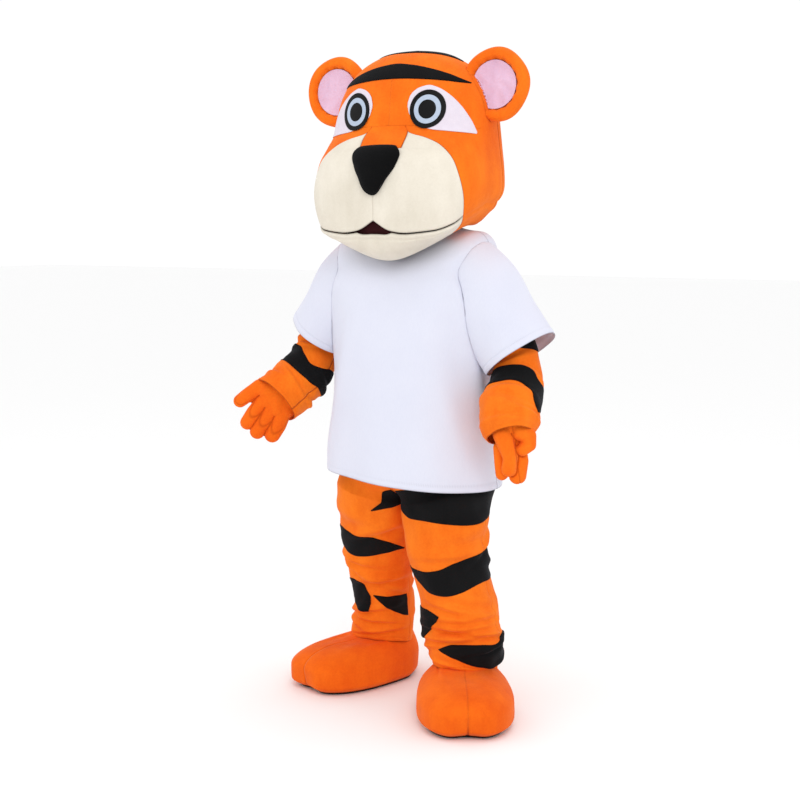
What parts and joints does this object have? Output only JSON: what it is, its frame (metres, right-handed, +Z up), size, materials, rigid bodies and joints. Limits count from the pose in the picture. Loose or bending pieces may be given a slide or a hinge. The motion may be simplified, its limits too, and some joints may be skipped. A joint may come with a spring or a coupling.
{
  "type": "mascot costume",
  "caption": "Walking tiger mascot costume: hollow plush head with open neck, striped plush body suit, plain T-shirt, padded gloves and big overshoes, standing as if worn",
  "frame": {"origin": "between the wearer's shoulders, 1.43 m above the floor the soles stand on", "axes": "+Z up, the figure faces -Y, its own left is +X"},
  "size_m": [0.959, 0.5656, 1.9344],
  "materials": {
    "plush_orange": "short-nap plush",
    "plush_black": "short-nap plush",
    "plush_cream": "short-nap plush",
    "mouth_cloth": "woven cloth",
    "felt_white": "felt",
    "felt_blue_grey": "felt",
    "plush_pink": "short-nap plush",
    "knit_white": "cotton jersey",
    "sole_dark": "rubber sheet"
  },
  "bodies": {
    "root": {"brow_stripe": "plush_black", "crown_stripe": "plush_black", "ear_l": "plush_orange", "ear_lining_l": "plush_pink", "ear_lining_r": "plush_pink", "ear_r": "plush_orange", "eye_iris_l": "felt_blue_grey", "eye_iris_r": "felt_blue_grey", "eye_pupil_l": "plush_black", "eye_pupil_r": "plush_black", "eye_ring_l": "plush_black", "eye_ring_r": "plush_black", "eye_white_l": "felt_white", "eye_white_r": "felt_white", "foot_inner_l": "plush_orange", "foot_inner_r": "plush_orange", "foot_outer_l": "plush_orange", "foot_outer_r": "plush_orange", "glove_back_l": "plush_orange", "glove_back_r": "plush_orange", "glove_palm_l": "plush_orange", "glove_palm_r": "plush_orange", "head_back_l": "plush_orange", "head_back_r": "plush_orange", "head_face_l": "plush_orange", "head_face_r": "plush_orange", "jaw": "plush_cream", "mouth_cloth": "mouth_cloth", "muzzle_l": "plush_cream", "muzzle_r": "plush_cream", "nose": "plush_black", "shirt_back": "knit_white", "shirt_front": "knit_white", "shirt_sleeve_l": "knit_white", "shirt_sleeve_r": "knit_white", "snout_bridge": "plush_orange", "sole_l": "sole_dark", "sole_r": "sole_dark", "stripe_ankle_l": "plush_black", "stripe_band_l": "plush_black", "stripe_band_r": "plush_black", "stripe_calf_l": "plush_black", "stripe_knee_l": "plush_black", "stripe_shin_inner_r": "plush_black", "stripe_shin_outer_r": "plush_black", "stripe_thigh_l": "plush_black", "stripe_thigh_r": "plush_black", "stripe_thigh_tip_r": "plush_black", "stripe_upper_l": "plush_black", "suit_back_l": "plush_orange", "suit_back_r": "plush_orange", "suit_front_l": "plush_orange", "suit_front_r": "plush_orange", "suit_sleeve_l": "plush_orange", "suit_sleeve_r": "plush_orange"}
  },
  "joints": []
}
